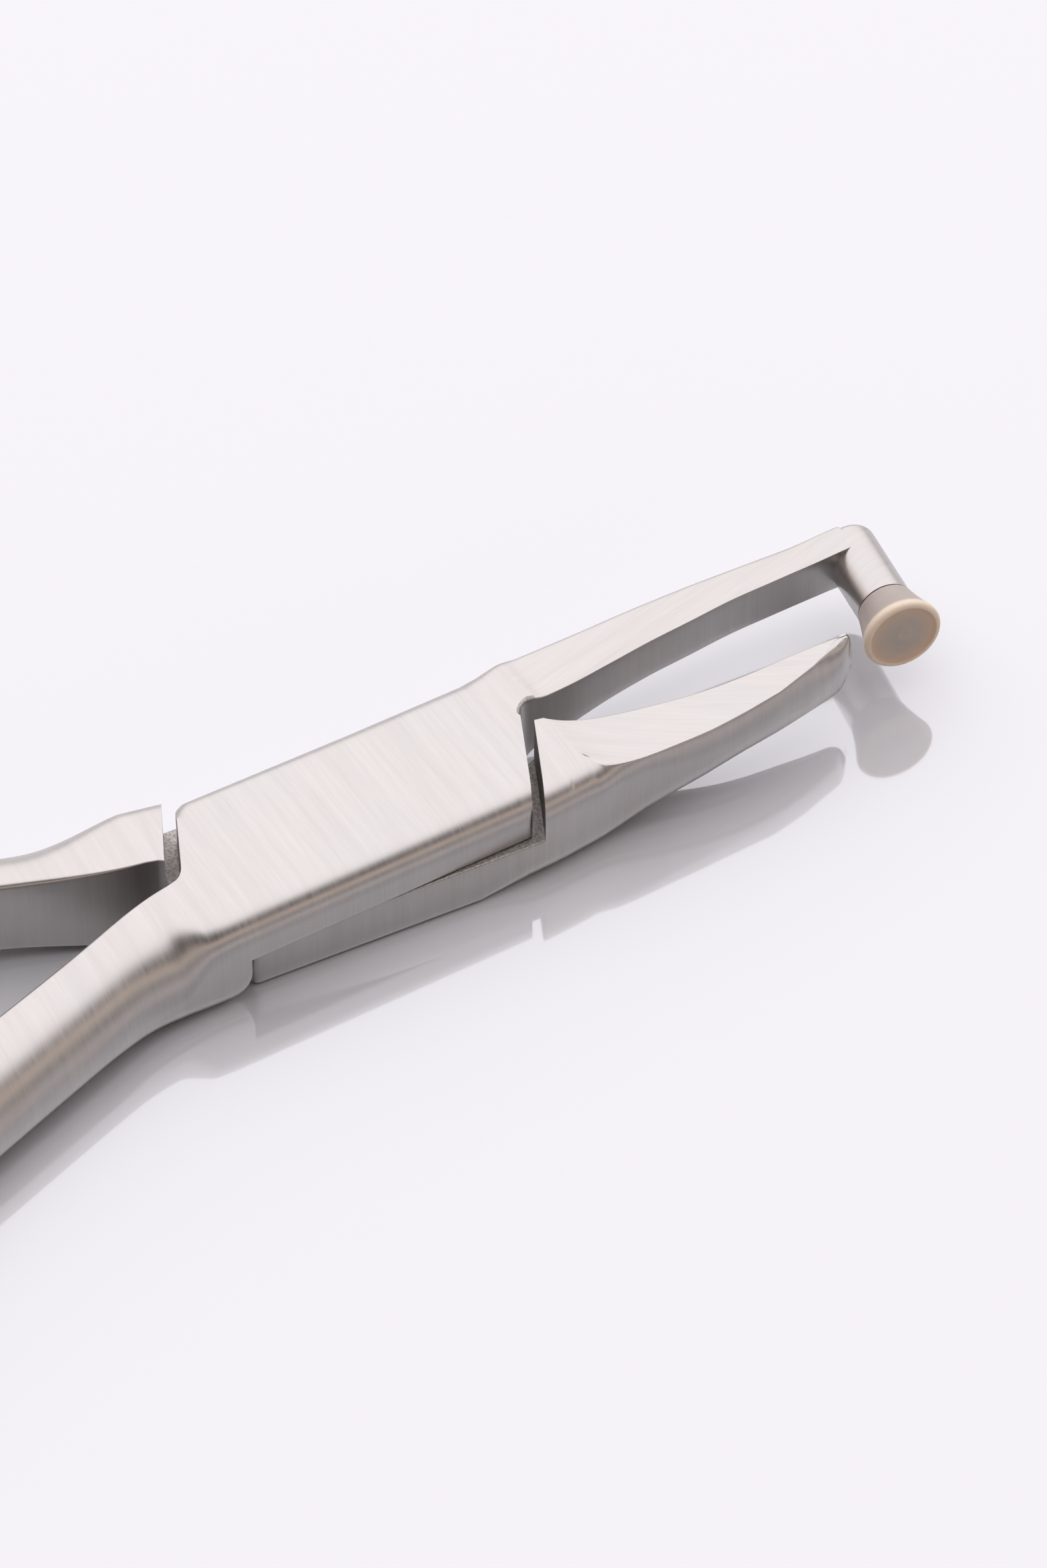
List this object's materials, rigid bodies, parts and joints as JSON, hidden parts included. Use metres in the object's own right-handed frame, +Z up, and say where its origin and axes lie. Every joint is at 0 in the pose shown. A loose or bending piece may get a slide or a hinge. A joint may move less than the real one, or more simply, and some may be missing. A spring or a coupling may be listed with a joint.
{
  "type": "posterior band removing plier",
  "caption": "Slim lap jointed plier with two long handles, a pointed scooped beak and a long thin arm that ends in a stud with a flared plastic pad.",
  "frame": {"origin": "on the underside of the joint, directly below the pivot axis, in the plane the plier lies on", "axes": "+X from the pivot to the jaw tips, +Y towards the padded arm's side, +Z up through the thickness, along the pivot axis"},
  "size_m": [0.1455, 0.0495, 0.0076],
  "materials": {
    "brushed_steel": "satin brushed stainless steel with rounded edges",
    "rivet_steel": "ground flush stainless steel",
    "pad_plastic": "matte cream moulded plastic"
  },
  "bodies": {
    "beak_body": {"beak_half": "brushed_steel"},
    "arm_body": {"arm_half": "brushed_steel", "pivot_rivet": "rivet_steel", "pad": "pad_plastic"}
  },
  "joints": [
    {"name": "jaw_pivot", "type": "hinge", "parent": "beak_body", "child": "arm_body", "pos_m": [0, 0, 0], "axis": [0, 0, 1], "range_deg": [-4, 24]}
  ]
}
